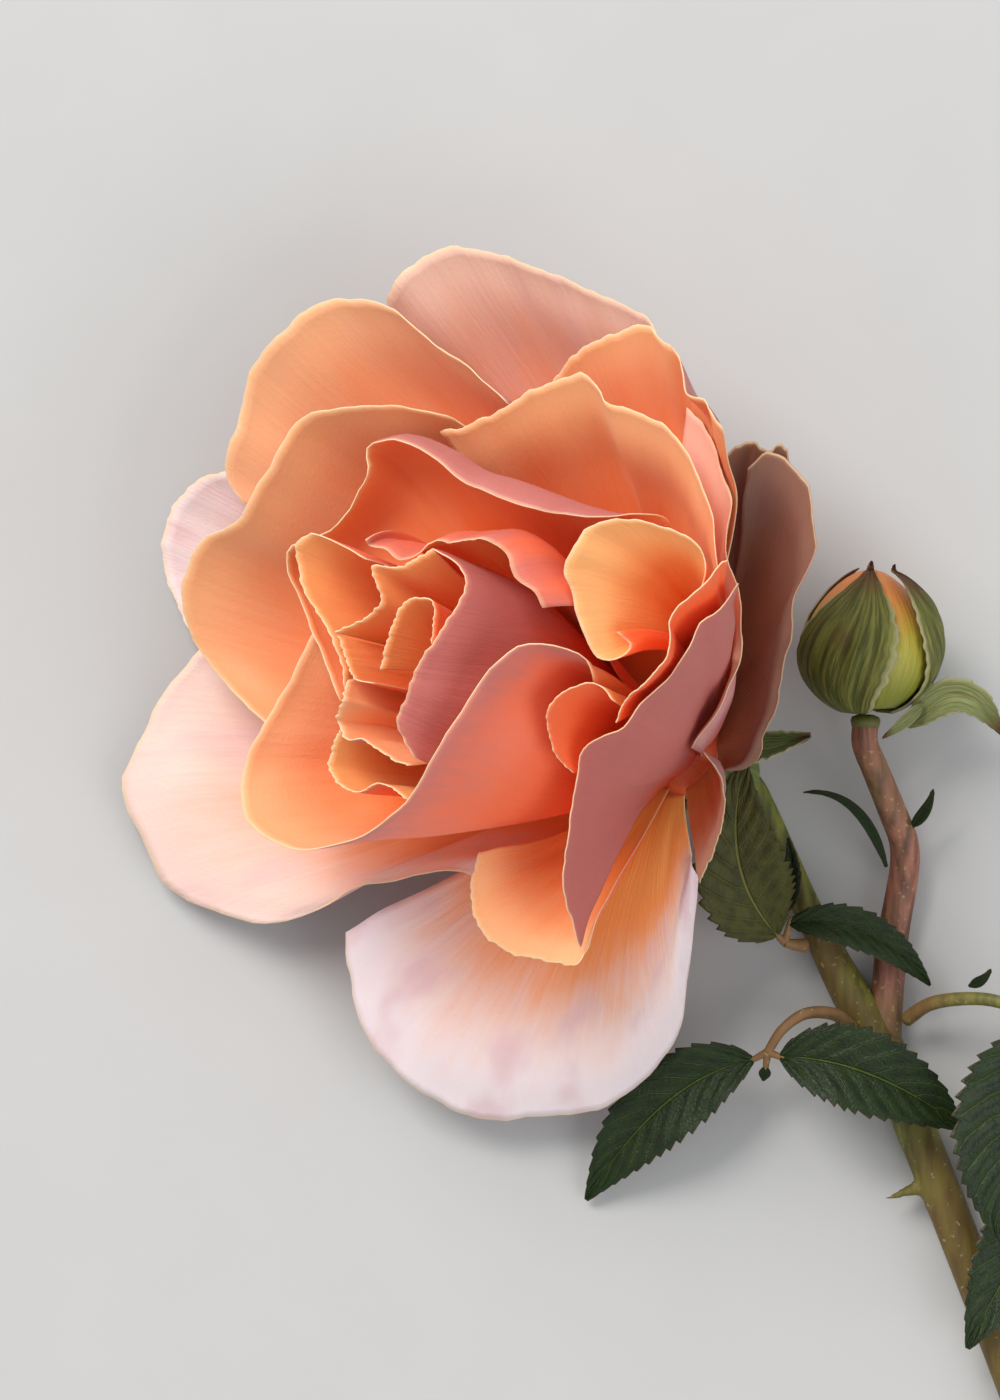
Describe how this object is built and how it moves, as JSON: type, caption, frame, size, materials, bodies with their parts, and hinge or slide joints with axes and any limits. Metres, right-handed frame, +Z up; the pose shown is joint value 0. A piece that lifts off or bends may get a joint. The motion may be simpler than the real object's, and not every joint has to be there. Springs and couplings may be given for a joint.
{
  "type": "cut rose",
  "caption": "A cut garden rose lying on its side: a many-petalled open bloom with a divided heart, a closed side bud, toothed leaves and a prickly stem.",
  "frame": {"origin": "middle of the footprint of the lying rose, on the surface it lies on", "axes": "+Z up from the surface, +Y from the cut end of the stem towards the bloom's top, +X to the bud's side"},
  "size_m": [0.1476, 0.2254, 0.0603],
  "materials": {
    "petal": "matte",
    "petal_shaded": "matte",
    "bud_petal": "satin",
    "sepal": "satin",
    "leaf": "satin",
    "stem": "satin"
  },
  "bodies": {
    "root": {"petal_left_heart": "petal", "petal_left_fold_low": "petal", "petal_left_fold_high": "petal", "petal_left_wall": "petal", "petal_left_lip": "petal", "petal_left_roll": "petal", "petal_left_inner": "petal", "petal_left_rolled_rim": "petal", "petal_right_funnel": "petal", "petal_right_inner": "petal", "petal_upper_cup": "petal", "petal_lower_wrap": "petal", "petal_round_tip": "petal", "petal_lower_right": "petal", "petal_upper_right": "petal", "petal_right_rim": "petal", "petal_top_right": "petal", "petal_left_cup": "petal", "petal_small_front": "petal", "petal_lower_left": "petal", "petal_bottom": "petal", "petal_bottom_fold": "petal", "petal_top_left": "petal", "petal_top": "petal", "petal_left_back": "petal", "petal_right_back": "petal_shaded", "petal_right_back_torn": "petal_shaded", "hip": "sepal", "sepal_1": "sepal", "sepal_2": "sepal", "sepal_3": "sepal", "sepal_4": "sepal", "sepal_5": "sepal", "bud_petals": "bud_petal", "bud_hip": "sepal", "bud_sepal_1": "sepal", "bud_sepal_2": "sepal", "bud_sepal_3": "sepal", "bud_sepal_4": "sepal", "bud_sepal_5": "sepal", "stem": "stem", "leaf_stalk_upper": "stem", "leaf_stalk_left": "stem", "leaf_stalk_right": "stem", "leaflet_behind_bloom": "leaf", "leaflet_edge_on": "leaf", "leaflet_over_stalk": "leaf", "leaflet_lower_left": "leaf", "leaflet_lower_middle": "leaf", "leaflet_stub": "leaf", "leaflet_right_upper": "leaf", "leaflet_right_lower": "leaf", "leaflet_right_tip": "leaf", "leaflet_right_outer": "leaf", "bract_left": "leaf", "bract_right": "leaf", "bract_fork": "leaf"}
  },
  "joints": []
}
